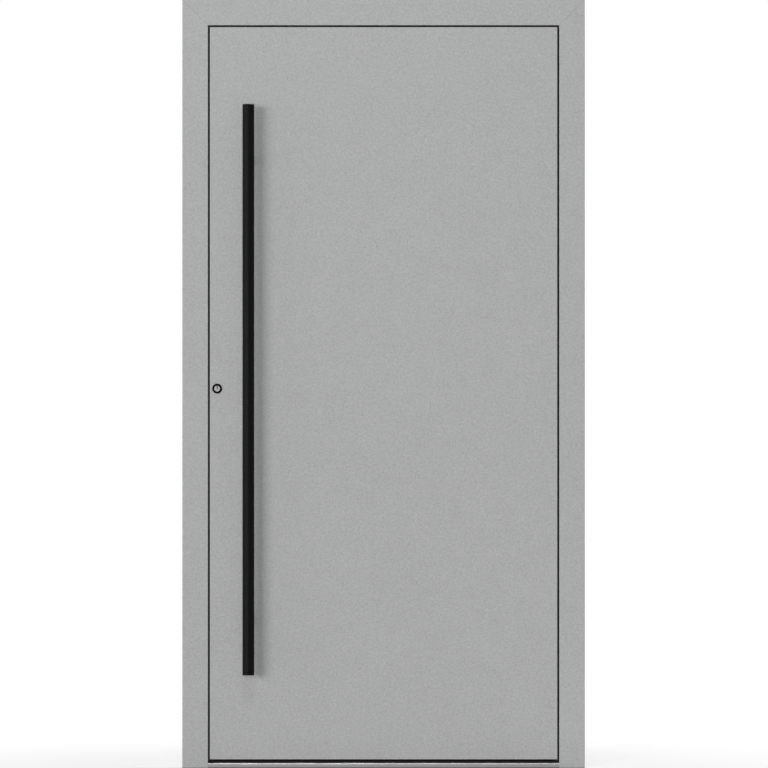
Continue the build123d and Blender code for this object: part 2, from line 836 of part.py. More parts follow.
def main():
    parts = {}
    parts.update(make_frame())
    parts.update(make_threshold())
    parts.update(make_leaf_frame())
    parts.update(make_panels())
    parts.update(make_lock())
    parts.update(make_cylinder())
    parts.update(make_pull_bar())
    parts.update(make_lever())
    parts.update(make_hinges())
    parts["frame_gasket"] = make_frame_gasket()
    parts["bottom_seal"] = make_bottom_seal()
    parts["strike_plates"] = make_strikes()
    os.makedirs("parts", exist_ok=True)
    for name, shape in parts.items():
        export_step(shape, f"parts/{name}.step")


main()
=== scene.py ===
import json
import math

import bmesh
import bpy
from mathutils import Matrix, Vector


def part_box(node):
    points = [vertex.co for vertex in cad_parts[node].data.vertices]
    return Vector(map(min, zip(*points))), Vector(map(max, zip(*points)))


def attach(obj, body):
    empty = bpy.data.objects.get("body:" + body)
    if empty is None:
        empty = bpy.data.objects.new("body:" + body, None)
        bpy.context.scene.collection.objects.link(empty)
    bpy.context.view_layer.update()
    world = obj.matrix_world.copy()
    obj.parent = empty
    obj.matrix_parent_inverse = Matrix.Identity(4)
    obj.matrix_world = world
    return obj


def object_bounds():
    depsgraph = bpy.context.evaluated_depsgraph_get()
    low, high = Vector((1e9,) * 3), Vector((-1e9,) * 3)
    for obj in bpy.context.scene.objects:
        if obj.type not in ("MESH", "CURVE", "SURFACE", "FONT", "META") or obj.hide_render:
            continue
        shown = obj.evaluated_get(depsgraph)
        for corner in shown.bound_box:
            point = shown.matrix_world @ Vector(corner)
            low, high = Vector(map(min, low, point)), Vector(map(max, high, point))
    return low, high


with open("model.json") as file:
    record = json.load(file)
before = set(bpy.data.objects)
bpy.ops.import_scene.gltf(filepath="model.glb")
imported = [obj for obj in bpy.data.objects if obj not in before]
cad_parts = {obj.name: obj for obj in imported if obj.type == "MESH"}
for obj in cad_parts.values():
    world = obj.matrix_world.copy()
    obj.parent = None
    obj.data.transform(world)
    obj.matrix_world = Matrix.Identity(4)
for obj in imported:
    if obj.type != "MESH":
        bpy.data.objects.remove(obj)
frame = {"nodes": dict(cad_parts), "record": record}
cad_low, cad_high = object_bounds()

# Everything is in metres, in the door's own frame: exterior towards -Y, +Z up.
MM = 0.001

# Camera, whose span is the height and width that the picture shows at the leaf's face
CAMERA_DISTANCE = 20.0
PHOTO_SPAN = 2.0985
SENSOR_WIDTH = 36.0
CAMERA_SHIFT_X = 1.1 * MM
CAMERA_DROP = 0.4 * MM

# Light, with places as (x, y, z) and sizes as (width, height)
KEY_DISTANCE = 60.0
KEY_ANGLE = math.radians(29)
KEY_RISE = math.radians(5)
KEY_SIZE = (28.2, 16.92)
KEY_POWER = 20900.0
FILL_DISTANCE = 9.0
FILL_X = -0.2
FILL_SIZE = (0.5, 0.5)
FILL_POWER = 190.0
SIDE_PLACE = (-6.0, -2.8, 2.2)
SIDE_SIZE = (2.2, 3.4)
SIDE_POWER = 150.0
TOP_PLACE = (-0.3, -3.4, 4.4)
TOP_TARGET = (0, 0, 1.9)
TOP_SIZE = (0.4, 1.2)
TOP_COLOUR = (0.94, 0.965, 1.0)
TOP_POWER = 32.0
REAR_PLACE = (2.4, 6.0, 2.6)
REAR_SIZE = (4.0, 3.0)
REAR_POWER = 310.0
RIGHT_PLACE = (7.0, 1.8, 1.8)
RIGHT_TARGET_Y = 0.6
RIGHT_SIZE = (2.4, 2.4)
RIGHT_POWER = 190.0
WORLD_STRENGTH = 0.12

# Floor
FLOOR_RADIUS = 3.2
FLOOR_SEGMENTS = 96
SHADOW_RADIUS = 1.7
SHADOW_CORE = 0.35
FLOOR_SHARE = 0.42
FLOOR_GLOW = 0.66
FLOOR_BOUNCE = 0.8

# Base colours
DOOR_GREY = (0.381, 0.381, 0.383)
HINGE_GREY = (0.38, 0.384, 0.392)
COAT_BLACK = (0.003, 0.003, 0.0031)
RING_BLACK = (0.001, 0.001, 0.001)
ANODISED_GREY = (0.27, 0.26, 0.262)
ISOLATOR_BLACK = (0.046, 0.046, 0.047)
RUBBER_BLACK = (0.005, 0.005, 0.0052)
FOAM_YELLOW = (0.72, 0.65, 0.43)
STEEL_GREY = (0.43, 0.43, 0.435)
NICKEL_GREY = (0.3, 0.3, 0.297)

# Powder coat with flecks painted bright for their glint, mitre joints, and painted contact shade at
# the frame's feet
COAT_GRAIN = 5.2 * MM
COAT_CELL = 1.0 * MM
COAT_RELIEF = 0.05 * MM
FLECK_CELL = 5 * MM
FLECK_SHARE = 0.05
FLECK_RADIUS = 0.12
FLECK_GLINT = 0.6
MITRE_LINE = 0.4 * MM
MITRE_SHADE = 0.3
CONTACT_SHADE_HEIGHT = 2.2 * MM
CONTACT_SHADE = 0.12

# Painted shade on the isolator low at the threshold, in the dark gap under the leaf, and where it
# ends as a share of that piece's height
LOW_PAINTED_SHADE = 0.2
LOW_SHADE_END = 1.2

# Heights over which the polish of hands starts and ends on the pull bar
GRIP_START = (0.85, 1.0)
GRIP_END = (1.2, 1.4)

# The threshold's nose with a painted highlight, and painted shade inside the keyway
NOSE_HEIGHT = 2.6 * MM
NOSE_EDGE = 0.3 * MM
NOSE_HIGHLIGHT = 1.6
KEYWAY_SHADE_DEPTH = 1.0 * MM
KEYWAY_SHADE = 0.08

# Small hardware, with each screw, cap and pin given by its radius
TURNED_SEGMENTS = 36
SHARP_ANGLE = math.radians(32)
PART_GAP = 6 * MM
HINGE_PLATE = 4 * MM
HINGE_SCREW = 4.4 * MM
HINGE_SCREW_DOME = 0.8 * MM
HINGE_SCREW_RECESS = HINGE_SCREW * 0.48
HINGE_SCREW_INSET = 12 * MM
HINGE_SCREW_FROM_END = 12 * MM
LOCK_SCREW = 3.6 * MM
LOCK_SCREW_DOME = 0.4 * MM
LOCK_SCREW_RECESS = LOCK_SCREW * 0.5
STRIKE_SCREW_FROM_END = 12 * MM
FACEPLATE_SCREW_FROM_END = 14 * MM
HOOK_SCREW_REACH = 60 * MM
BOLT_SCREW_GAP = 40 * MM
FRAME_CAP = 6.5 * MM
FRAME_CAP_HEIGHT = 1.2 * MM
GRUB_SCREW = 2.5 * MM
GRUB_SCREW_PROUD = 0.1 * MM
GRUB_SCREW_SOCKET = GRUB_SCREW * 0.5
GRUB_SCREW_FROM_FACE = 10 * MM
NECK_SCREW_FROM_ROSE = GRUB_SCREW * 2
SUPPORT_RADIUS = 10 * MM
PIN_RADIUS = 1.1 * MM
PIN_LENGTH = 2.2 * MM
PIN_PITCH = 3.6 * MM
PIN_COUNT = 5
KEYWAY_HEIGHT = 9.5 * MM

face_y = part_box("leaf_outer_panel")[0].y
middle_z = (cad_low.z + cad_high.z) / 2
bar_low, bar_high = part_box("pull_bar")
bar_centre = (bar_low + bar_high) / 2


def make_camera():
    """Straight-on camera at the photograph's height and framing."""
    camera = bpy.data.objects.new("camera", bpy.data.cameras.new("camera"))
    camera.data.sensor_width = SENSOR_WIDTH
    camera.data.lens = SENSOR_WIDTH * CAMERA_DISTANCE / PHOTO_SPAN
    camera.location = (CAMERA_SHIFT_X, face_y - CAMERA_DISTANCE, middle_z - CAMERA_DROP)
    camera.rotation_euler = (math.pi / 2, 0, 0)
    bpy.context.scene.collection.objects.link(camera)
    bpy.context.scene.camera = camera


def make_lamp(name, place, target, size, power):
    """Soft rectangular lamp turned towards a point."""
    data = bpy.data.lights.new(name, "AREA")
    data.shape = "RECTANGLE"
    data.size, data.size_y = size
    data.energy = power
    lamp = bpy.data.objects.new(name, data)
    lamp.location = place
    lamp.rotation_euler = (Vector(target) - Vector(place)).to_track_quat("-Z", "Y").to_euler()
    lamp.visible_camera = False
    bpy.context.scene.collection.objects.link(lamp)
    return lamp


def make_lights():
    """A soft key from the left, a fill in front, and lamps beside, above and behind the door."""
    middle = (0, 0, middle_z)
    run = KEY_DISTANCE * math.tan(KEY_ANGLE)
    rise = KEY_DISTANCE * math.tan(KEY_RISE)
    key_place = (bar_centre.x - run, -KEY_DISTANCE, middle_z + rise)
    make_lamp("key_lamp", key_place, middle, KEY_SIZE, KEY_POWER)
    fill_place = (FILL_X, -FILL_DISTANCE, middle_z)
    fill = make_lamp("fill_lamp", fill_place, middle, FILL_SIZE, FILL_POWER)
    fill.visible_glossy = False
    side = make_lamp("side_lamp", SIDE_PLACE, middle, SIDE_SIZE, SIDE_POWER)
    side.visible_diffuse = False
    top = make_lamp("top_lamp", TOP_PLACE, TOP_TARGET, TOP_SIZE, TOP_POWER)
    top.data.color = TOP_COLOUR
    make_lamp("rear_lamp", REAR_PLACE, middle, REAR_SIZE, REAR_POWER)
    right_target = (cad_high.x, RIGHT_TARGET_Y, middle_z)
    make_lamp("right_lamp", RIGHT_PLACE, right_target, RIGHT_SIZE, RIGHT_POWER)


def seen_directly(nodes, links):
    """1 for a ray of the camera, of a reflection or through glass, and 0 for diffuse light."""
    path = nodes.new("ShaderNodeLightPath")
    first = nodes.new("ShaderNodeMath")
    first.operation = "MAXIMUM"
    links.new(path.outputs["Is Camera Ray"], first.inputs[0])
    links.new(path.outputs["Is Glossy Ray"], first.inputs[1])
    second = nodes.new("ShaderNodeMath")
    second.operation = "MAXIMUM"
    links.new(first.outputs[0], second.inputs[0])
    links.new(path.outputs["Is Transmission Ray"], second.inputs[1])
    return second.outputs[0]


def make_world():
    """White where it is seen, and an even soft light on the door."""
    world = bpy.data.worlds.new("studio")
    bpy.context.scene.world = world
    world.use_nodes = True
    nodes = world.node_tree.nodes
    links = world.node_tree.links
    light = nodes["Background"]
    light.inputs["Color"].default_value = (1, 1, 1, 1)
    light.inputs["Strength"].default_value = WORLD_STRENGTH
    white = nodes.new("ShaderNodeBackground")
    white.inputs["Color"].default_value = (1, 1, 1, 1)
    white.inputs["Strength"].default_value = 1.0
    mix = nodes.new("ShaderNodeMixShader")
    links.new(seen_directly(nodes, links), mix.inputs[0])
    links.new(light.outputs[0], mix.inputs[1])
    links.new(white.outputs[0], mix.inputs[2])
    links.new(mix.outputs[0], nodes["World Output"].inputs["Surface"])


def make_floor():
    """Round pale floor that fades into the white surround and keeps the door's shadow."""
    mesh = bpy.data.meshes.new("floor")
    bm = bmesh.new()
    bmesh.ops.create_circle(bm, cap_ends=True, segments=FLOOR_SEGMENTS, radius=FLOOR_RADIUS)
    bm.to_mesh(mesh)
    bm.free()
    floor = bpy.data.objects.new("floor", mesh)
    bpy.context.scene.collection.objects.link(floor)
    material = bpy.data.materials.new("floor")
    material.use_nodes = True
    nodes = material.node_tree.nodes
    links = material.node_tree.links
    nodes.remove(nodes["Principled BSDF"])
    place = nodes.new("ShaderNodeTexCoord")
    distance = nodes.new("ShaderNodeVectorMath")
    distance.operation = "LENGTH"
    links.new(place.outputs["Object"], distance.inputs[0])
    fade = nodes.new("ShaderNodeMapRange")
    fade.interpolation_type = "SMOOTHSTEP"
    fade.inputs["From Min"].default_value = SHADOW_RADIUS * SHADOW_CORE
    fade.inputs["From Max"].default_value = SHADOW_RADIUS
    fade.inputs["To Min"].default_value = 1.0
    fade.inputs["To Max"].default_value = 0.0
    links.new(distance.outputs["Value"], fade.inputs["Value"])
    glow = nodes.new("ShaderNodeEmission")
    glow.inputs["Strength"].default_value = FLOOR_GLOW
    shaded = nodes.new("ShaderNodeBsdfDiffuse")
    shaded.inputs["Color"].default_value = (FLOOR_SHARE, FLOOR_SHARE, FLOOR_SHARE, 1)
    near = nodes.new("ShaderNodeAddShader")
    links.new(glow.outputs[0], near.inputs[0])
    links.new(shaded.outputs[0], near.inputs[1])
    white = nodes.new("ShaderNodeEmission")
    seen = nodes.new("ShaderNodeMixShader")
    links.new(fade.outputs["Result"], seen.inputs[0])
    links.new(white.outputs[0], seen.inputs[1])
    links.new(near.outputs[0], seen.inputs[2])
    plain = nodes.new("ShaderNodeBsdfDiffuse")
    plain.inputs["Color"].default_value = (FLOOR_BOUNCE, FLOOR_BOUNCE, FLOOR_BOUNCE, 1)
    mix = nodes.new("ShaderNodeMixShader")
    links.new(seen_directly(nodes, links), mix.inputs[0])
    links.new(plain.outputs[0], mix.inputs[1])
    links.new(seen.outputs[0], mix.inputs[2])
    links.new(mix.outputs[0], nodes["Material Output"].inputs["Surface"])
    mesh.materials.append(material)


class Finish:
    """A material whose surface is worked out from places on the door."""

    def __init__(self, name, **constants):
        self.material = bpy.data.materials.new(name)
        self.material.use_nodes = True
        self.nodes = self.material.node_tree.nodes
        self.links = self.material.node_tree.links
        self.shader = self.nodes["Principled BSDF"]
        self.place = self.nodes.new("ShaderNodeTexCoord").outputs["Object"]
        for socket, value in constants.items():
            self.shader.inputs[socket.replace("_", " ")].default_value = value

    def feed(self, value, socket):
        """Links an output, or sets a constant, on one of a node's sockets."""
        if isinstance(value, bpy.types.NodeSocket):
            self.links.new(value, socket)
        else:
            socket.default_value = value

    def stretched(self, stretch):
        """The place with each axis scaled, for grain that runs along one way."""
        node = self.nodes.new("ShaderNodeVectorMath")
        node.operation = "MULTIPLY"
        node.inputs[1].default_value = stretch
        self.links.new(self.place, node.inputs[0])
        return node.outputs[0]

    def noise(self, size, detail=2.0, roughness=0.5, stretch=None):
        """Soft random pattern whose features are about one size across, from 0 to 1."""
        node = self.nodes.new("ShaderNodeTexNoise")
        node.inputs["Scale"].default_value = 1 / size
        node.inputs["Detail"].default_value = detail
        node.inputs["Roughness"].default_value = roughness
        self.links.new(self.stretched(stretch) if stretch else self.place, node.inputs["Vector"])
        return node.outputs["Fac"]

    def cells(self, size):
        """Distance from the middle of each cell of one size, and a random value for each cell."""
        node = self.nodes.new("ShaderNodeTexVoronoi")
        node.inputs["Scale"].default_value = 1 / size
        self.links.new(self.place, node.inputs["Vector"])
        return node.outputs["Distance"], self.channel(node.outputs["Color"], 0)

    def flecks(self, size, share, radius):
        """Small bright dots, in a share of the cells of one size."""
        distance, random = self.cells(size)
        chosen = self.spread(random, 1 - share, 1 - share * 0.6, 0, 1)
        near = self.spread(distance, radius * 0.5, radius, 1, 0)
        return self.product(chosen, near)

    def channel(self, colour, number):
        """One channel of a colour: 0 for red, 1 for green, 2 for blue."""
        node = self.nodes.new("ShaderNodeSeparateColor")
        self.links.new(colour, node.inputs[0])
        return node.outputs[number]

    def axis(self, number):
        """One coordinate of the place: 0 for X, 1 for Y, 2 for Z."""
        node = self.nodes.new("ShaderNodeSeparateXYZ")
        self.links.new(self.place, node.inputs[0])
        return node.outputs[number]

    def combine(self, operation, first, second=0):
        """One step of arithmetic. An operation on one value leaves the second alone."""
        node = self.nodes.new("ShaderNodeMath")
        node.operation = operation
        self.feed(first, node.inputs[0])
        self.feed(second, node.inputs[1])
        return node.outputs[0]

    def product(self, first, *others):
        """All the values multiplied together."""
        for value in others:
            first = self.combine("MULTIPLY", first, value)
        return first

    def spread(self, value, low, high, out_low, out_high):
        """Maps one range onto another, and stays inside it."""
        node = self.nodes.new("ShaderNodeMapRange")
        self.links.new(value, node.inputs["Value"])
        for socket, limit in (
            ("From Min", low),
            ("From Max", high),
            ("To Min", out_low),
            ("To Max", out_high),
        ):
            node.inputs[socket].default_value = limit
        return node.outputs["Result"]

    def shade(self, colour, factor):
        """A colour made lighter or darker by a factor."""
        node = self.nodes.new("ShaderNodeVectorMath")
        node.operation = "SCALE"
        self.feed(colour, node.inputs[0])
        self.feed(factor, node.inputs["Scale"])
        return node.outputs[0]

    def colour(self, value):
        """Gives the surface the colour that an output carries."""
        self.links.new(value, self.shader.inputs["Base Color"])

    def roughness(self, value):
        """Gives the surface the roughness that an output carries."""
        self.links.new(value, self.shader.inputs["Roughness"])

    def relief(self, *layers):
        """Bumps, each given as (pattern, height in metres), one on top of the other."""
        normal = None
        for pattern, height in layers:
            node = self.nodes.new("ShaderNodeBump")
            node.inputs["Strength"].default_value = 1.0
            node.inputs["Distance"].default_value = height
            self.links.new(pattern, node.inputs["Height"])
            if normal:
                self.links.new(normal, node.inputs["Normal"])
            normal = node.outputs["Normal"]
        self.links.new(normal, self.shader.inputs["Normal"])


def mitre_lines(finish):
    """A shade for the hairline joints at the frame's two upper corners, and 1 elsewhere."""
    from_middle = finish.combine("ABSOLUTE", finish.axis(0))
    from_side = finish.combine("SUBTRACT", cad_high.x, from_middle)
    from_top = finish.combine("SUBTRACT", cad_high.z, finish.axis(2))
    apart = finish.combine("ABSOLUTE", finish.combine("SUBTRACT", from_side, from_top))
    line = finish.spread(apart, MITRE_LINE * 0.6, MITRE_LINE, 1, 0)
    face = cad_high.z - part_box("head_outer_shell")[0].z
    on_frame = finish.spread(from_side, face, face + MITRE_LINE, 1, 0)
    return finish.spread(finish.product(line, on_frame), 0, 1, 1, MITRE_SHADE)


def powder_coat():
    """Light grey fine-texture powder coat with metallic flecks painted bright for their glint, and
    painted contact shade at the frame's feet.
    """
    finish = Finish("powder_coat", Metallic=0.15, Specular_IOR_Level=0.4)
    grain = finish.noise(COAT_GRAIN, detail=2.0, roughness=0.6)
    mottle = finish.noise(60 * MM, detail=3)
    cloud = finish.noise(0.6, detail=1)
    hump, flake = finish.cells(COAT_CELL)
    factor = finish.product(
        finish.spread(grain, 0.1, 0.9, 0.82, 1.18),
        finish.spread(mottle, 0.2, 0.8, 0.98, 1.02),
        finish.spread(cloud, 0.2, 0.8, 0.99, 1.01),
        finish.spread(flake, 0, 1, 0.88, 1.12),
    )
    # Painted glint: real metallic flakes, drawn as bright dots in the base colour in place of their
    # sparkle
    painted_glint = finish.product(finish.flecks(FLECK_CELL, FLECK_SHARE, FLECK_RADIUS), FLECK_GLINT)
    factor = finish.combine("ADD", factor, painted_glint)
    # Painted contact shade: the coat darkens within a few millimetres of the floor, where the
    # frame's feet meet it
    painted_foot_shade = finish.spread(finish.axis(2), CONTACT_SHADE_HEIGHT * 0.5, CONTACT_SHADE_HEIGHT, CONTACT_SHADE, 1.0)
    finish.colour(finish.shade(DOOR_GREY, finish.product(factor, mitre_lines(finish), painted_foot_shade)))
    finish.roughness(finish.spread(finish.noise(9 * MM, detail=3), 0.3, 0.7, 0.5, 0.62))
    finish.relief((finish.noise(1.4 * MM, detail=2), COAT_RELIEF), (hump, COAT_RELIEF))
    return finish.material


def hinge_coat():
    """The same colour on cast hinges, a little smoother."""
    finish = Finish("hinge_coat", Metallic=0.1, Specular_IOR_Level=0.5)
    grain = finish.noise(2.5 * MM, detail=3)
    factor = finish.spread(grain, 0.25, 0.75, 0.95, 1.05)
    finish.colour(finish.shade(HINGE_GREY, factor))
    finish.roughness(finish.spread(finish.noise(6 * MM, detail=3), 0.3, 0.7, 0.36, 0.48))
    finish.relief((finish.noise(2 * MM, detail=2), 0.03 * MM))
    return finish.material


def black_coat():
    """Satin black powder coat, polished a little where hands hold it."""
    finish = Finish("black_coat", Specular_IOR_Level=0.06)
    grain = finish.noise(3 * MM, detail=3, roughness=0.6)
    factor = finish.spread(grain, 0.25, 0.75, 0.8, 1.2)
    finish.colour(finish.shade(COAT_BLACK, factor))
    height = finish.axis(2)
    touched = finish.product(
        finish.spread(height, *GRIP_START, 0, 1),
        finish.spread(height, *GRIP_END, 1, 0),
        finish.spread(finish.noise(25 * MM, detail=4), 0.4, 0.65, 0, 1),
    )
    worn = finish.spread(finish.noise(8 * MM, detail=4), 0.3, 0.7, 0.42, 0.52)
    finish.roughness(finish.combine("SUBTRACT", worn, finish.product(touched, 0.1)))
    finish.relief((finish.noise(1.2 * MM, detail=2), 0.025 * MM))
    return finish.material


def ring_black():
    """Dull black anodising of the key cylinder's outer ring."""
    finish = Finish("ring_black", Specular_IOR_Level=0.02)
    grain = finish.noise(2 * MM, detail=3)
    finish.colour(finish.shade(RING_BLACK, finish.spread(grain, 0.25, 0.75, 0.8, 1.2)))
    finish.roughness(finish.spread(grain, 0.3, 0.7, 0.5, 0.6))
    finish.relief((grain, 0.01 * MM))
    return finish.material


def anodised():
    """Natural anodised aluminium with fine drawing lines, scuffed, and with a painted highlight on
    the nose.
    """
    finish = Finish("anodised", Metallic=0.75)
    lines = finish.noise(0.8 * MM, detail=4, roughness=0.7, stretch=(0.004, 1, 1))
    scuffs = finish.noise(14 * MM, detail=6, roughness=0.75, stretch=(0.35, 1, 1))
    nose_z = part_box("threshold_outer_profile")[1].z - NOSE_HEIGHT
    factor = finish.product(
        finish.spread(lines, 0.3, 0.7, 0.93, 1.05),
        finish.spread(scuffs, 0.45, 0.7, 1.0, 0.93),
        # Painted highlight along the threshold's top edge, where light from above falls
        finish.spread(finish.axis(2), nose_z, nose_z + NOSE_EDGE, 1.0, NOSE_HIGHLIGHT),
    )
    finish.colour(finish.shade(ANODISED_GREY, factor))
    finish.roughness(finish.spread(scuffs, 0.35, 0.7, 0.31, 0.44))
    finish.relief((lines, 0.02 * MM), (scuffs, 0.02 * MM))
    return finish.material


def isolator():
    """Black glass-filled polyamide, dull and slightly fibrous, with painted shade low at the
    threshold.
    """
    finish = Finish("isolator", Specular_IOR_Level=0.2)
    fibres = finish.noise(1.5 * MM, detail=4, roughness=0.7, stretch=(1, 1, 0.1))
    stop_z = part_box("threshold_thermal_break")[1].z
    # Painted shade: the isolator darkens below the top of the threshold stop, in the gap under the
    # leaf
    shade_below_stop = finish.spread(finish.axis(2), stop_z, stop_z * LOW_SHADE_END, LOW_PAINTED_SHADE, 1.0)
    factor = finish.product(finish.spread(fibres, 0.3, 0.7, 0.75, 1.3), shade_below_stop)
    finish.colour(finish.shade(ISOLATOR_BLACK, factor))
    finish.roughness(finish.spread(fibres, 0.3, 0.7, 0.6, 0.75))
    finish.relief((fibres, 0.04 * MM))
    return finish.material


def seal_rubber():
    """Matt black rubber with a faint bloom."""
    finish = Finish("seal_rubber", Specular_IOR_Level=0.12)
    bloom = finish.noise(12 * MM, detail=5, roughness=0.65)
    finish.colour(finish.shade(RUBBER_BLACK, finish.spread(bloom, 0.35, 0.7, 0.8, 1.5)))
    finish.roughness(finish.spread(bloom, 0.3, 0.7, 0.68, 0.85))
    finish.relief((finish.noise(0.8 * MM, detail=3), 0.03 * MM))
    return finish.material


def core_foam():
    """Fine-celled rigid foam."""
    finish = Finish("core_foam", Specular_IOR_Level=0.2)
    cells = finish.noise(1.6 * MM, detail=3)
    finish.colour(finish.shade(FOAM_YELLOW, finish.spread(cells, 0.3, 0.7, 0.85, 1.1)))
    finish.roughness(finish.spread(cells, 0.3, 0.7, 0.8, 0.95))
    finish.relief((cells, 0.3 * MM))
    return finish.material


def lock_steel():
    """Brushed stainless steel, its grain upright."""
    finish = Finish("lock_steel", Metallic=1.0)
    lines = finish.noise(0.5 * MM, detail=4, roughness=0.7, stretch=(1, 1, 0.01))
    stains = finish.noise(35 * MM, detail=4)
    factor = finish.product(
        finish.spread(lines, 0.3, 0.7, 0.9, 1.06), finish.spread(stains, 0.4, 0.7, 1.0, 0.93)
    )
    finish.colour(finish.shade(STEEL_GREY, factor))
    finish.roughness(finish.spread(lines, 0.3, 0.7, 0.28, 0.42))
    finish.relief((lines, 0.01 * MM))
    return finish.material


def cylinder_nickel():
    """Satin nickel plate with fine handling marks, and painted shade inside the keyway."""
    finish = Finish("cylinder_nickel", Metallic=1.0)
    marks = finish.noise(1.2 * MM, detail=5, roughness=0.7, stretch=(1, 1, 0.25))
    low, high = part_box("cylinder_plug")
    middle = (low + high) / 2
    across = finish.combine("SUBTRACT", finish.axis(0), middle.x)
    up = finish.combine("SUBTRACT", finish.axis(2), middle.z)
    squares = finish.combine("ADD", finish.product(across, across), finish.product(up, up))
    reach = finish.combine("SQRT", squares)
    radius = (high.x - low.x) / 2
    near_axis = finish.spread(reach, radius * 0.97, radius * 0.99, 1, 0)
    depth = finish.combine("ABSOLUTE", finish.axis(1))
    face_depth = -low.y
    behind_face = finish.spread(
        depth, face_depth - KEYWAY_SHADE_DEPTH, face_depth - KEYWAY_SHADE_DEPTH / 2, 1, 0
    )
    # Painted shade: the plug and its pins darken inside the keyway, deeper than the plug's face
    shade_in_keyway = finish.product(near_axis, behind_face)
    factor = finish.product(
        finish.spread(marks, 0.3, 0.7, 0.9, 1.06), finish.spread(shade_in_keyway, 0, 1, 1, KEYWAY_SHADE)
    )
    finish.colour(finish.shade(NICKEL_GREY, factor))
    finish.roughness(finish.spread(marks, 0.3, 0.7, 0.3, 0.42))
    finish.relief((marks, 0.01 * MM))
    return finish.material


MAKERS = {
    "powder_coat": powder_coat,
    "hinge_coat": hinge_coat,
    "black_coat": black_coat,
    "ring_black": ring_black,
    "anodised": anodised,
    "isolator": isolator,
    "seal_rubber": seal_rubber,
    "core_foam": core_foam,
    "lock_steel": lock_steel,
    "cylinder_nickel": cylinder_nickel,
}

# Pieces whose look differs from the rest of their slot
OWN_FINISH = {"cylinder_ring": "ring_black"}


def dress_nodes(finishes):
    """Gives each of the door's pieces the finish of its slot, or one of its own."""
    for row in frame["record"]["subparts"]:
        piece = frame["nodes"][row["node"]]
        piece.data.materials.clear()
        piece.data.materials.append(finishes[OWN_FINISH.get(row["node"], row["material_slot"])])


def circle(angle):
    """Radius of a round outline, the same at every angle."""
    return 1.0


def hexagon(angle):
    """Radius of a hexagon's outline, as a share of its corners' radius."""
    sector = math.pi / 3
    return math.cos(sector / 2) / math.cos(angle % sector - sector / 2)


def star(angle):
    """Radius of a six-lobed driver's recess."""
    return 0.86 + 0.14 * math.cos(6 * angle)


def cross(angle):
    """Radius of a cross-shaped driver's recess."""
    return 0.42 + 0.58 * abs(math.cos(2 * angle)) ** 6


def turned(bm, place, axis, rings):
    """Closed body of rings round an axis, each ring as (radius, height, outline)."""
    turn = Vector((0, 0, 1)).rotation_difference(Vector(axis)).to_matrix().to_4x4()
    matrix = Matrix.Translation(Vector(place)) @ turn
    loops = []
    for radius, height, outline in rings:
        loop = []
        for number in range(TURNED_SEGMENTS):
            angle = 2 * math.pi * number / TURNED_SEGMENTS
            reach = radius * outline(angle)
            point = Vector((reach * math.cos(angle), reach * math.sin(angle), height))
            loop.append(bm.verts.new(matrix @ point))
        loops.append(loop)
    for low, high in zip(loops, loops[1:]):
        for number in range(TURNED_SEGMENTS):
            after = (number + 1) % TURNED_SEGMENTS
            bm.faces.new((low[number], low[after], high[after], high[number]))
    bm.faces.new(list(reversed(loops[0])))
    bm.faces.new(loops[-1])


def screw_head(radius, dome, recess, outline):
    """Rings of a raised countersunk head with a driver's recess."""
    return (
        (radius, 0.0, circle),
        (radius, dome * 0.25, circle),
        (radius * 0.9, dome * 0.6, circle),
        (radius * 0.7, dome * 0.88, circle),
        (recess * 1.12, dome, circle),
        (recess, dome * 0.97, outline),
        (recess * 0.9, dome * 0.1, outline),
    )


def grub_screw(radius, proud, recess):
    """Rings of a headless screw with a hexagon socket."""
    return (
        (radius, -0.6 * radius, circle),
        (radius, proud * 0.4, circle),
        (radius * 0.88, proud, circle),
        (recess, proud, hexagon),
        (recess * 0.95, proud - recess, hexagon),
    )


def cover_cap(radius, height):
    """Rings of a thin moulded cap with a rolled edge and a shallow dish."""
    return (
        (radius * 0.6, -height, circle),
        (radius * 0.62, 0.0, circle),
        (radius, 0.0, circle),
        (radius, height * 0.45, circle),
        (radius * 0.93, height * 0.85, circle),
        (radius * 0.8, height, circle),
        (radius * 0.35, height * 0.8, circle),
    )


def lock_pin(radius, length):
    """Rings of a turned pin with a rounded tip."""
    return (
        (radius, 0.0, circle),
        (radius, length * 0.6, circle),
        (radius * 0.8, length * 0.85, circle),
        (radius * 0.4, length, circle),
    )


def make_piece(name, groups, body, slot, finishes):
    """One piece that rides on a body, made of turned parts given as (places, axis, rings)."""
    bm = bmesh.new()
    for places, axis, rings in groups:
        for place in places:
            turned(bm, place, axis, rings)
    bmesh.ops.recalc_face_normals(bm, faces=bm.faces)
    mesh = bpy.data.meshes.new(name)
    bm.to_mesh(mesh)
    bm.free()
    mesh.materials.append(finishes[slot])
    mesh.shade_smooth()
    mesh.set_sharp_from_angle(angle=SHARP_ANGLE)
    piece = bpy.data.objects.new(name, mesh)
    bpy.context.scene.collection.objects.link(piece)
    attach(piece, body)


def stretches(name):
    """Heights between which each of a node's separate parts stands, from the lowest up."""
    node = frame["nodes"][name]
    heights = [(node.matrix_world @ vertex.co).z for vertex in node.data.vertices]
    spans = []
    for polygon in node.data.polygons:
        corners = [heights[index] for index in polygon.vertices]
        spans.append((min(corners), max(corners)))
    merged = []
    for low, high in sorted(spans):
        if merged and low <= merged[-1][1] + PART_GAP:
            merged[-1][1] = max(merged[-1][1], high)
        else:
            merged.append([low, high])
    return merged


